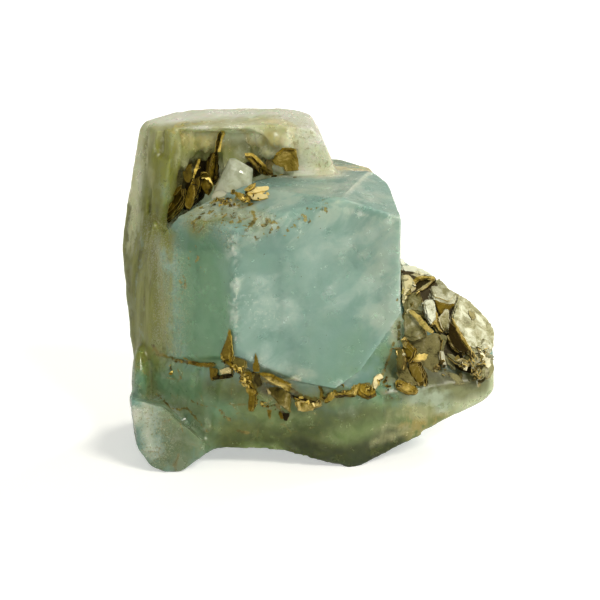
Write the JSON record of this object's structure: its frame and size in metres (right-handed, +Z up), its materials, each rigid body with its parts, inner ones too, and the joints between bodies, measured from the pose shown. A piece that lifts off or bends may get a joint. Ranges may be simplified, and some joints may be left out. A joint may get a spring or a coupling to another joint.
{
  "type": "aquamarine crystal specimen",
  "caption": "Stubby aquamarine crystal grown together with neighbouring crystals, with mica books and a quartz grain, ground flat beneath so that it stands for display.",
  "frame": {"origin": "on the ground-flat underside's plane, below the middle of the specimen's box", "axes": "+Z up, +Y from the main crystal's broad end face towards the back, +X towards the wing with the mica fan"},
  "size_m": [0.0662, 0.0354, 0.0585],
  "materials": {
    "aquamarine": "translucent, milky, natural crystal faces with pits and veils",
    "quartz": "clear to milky, irregular facets",
    "silvery_mica": "pearly silver faces with golden brown leaf edges",
    "brown_mica": "olive brown leaves with pale golden edges"
  },
  "bodies": {
    "root": {"aquamarine": "aquamarine", "quartz_grain": "quartz", "mica_fan": "silvery_mica", "mica_hollow_left": "brown_mica", "mica_hollow_right": "brown_mica", "mica_ledge": "brown_mica", "mica_seam_left": "brown_mica", "mica_seam_right": "brown_mica"}
  },
  "joints": []
}
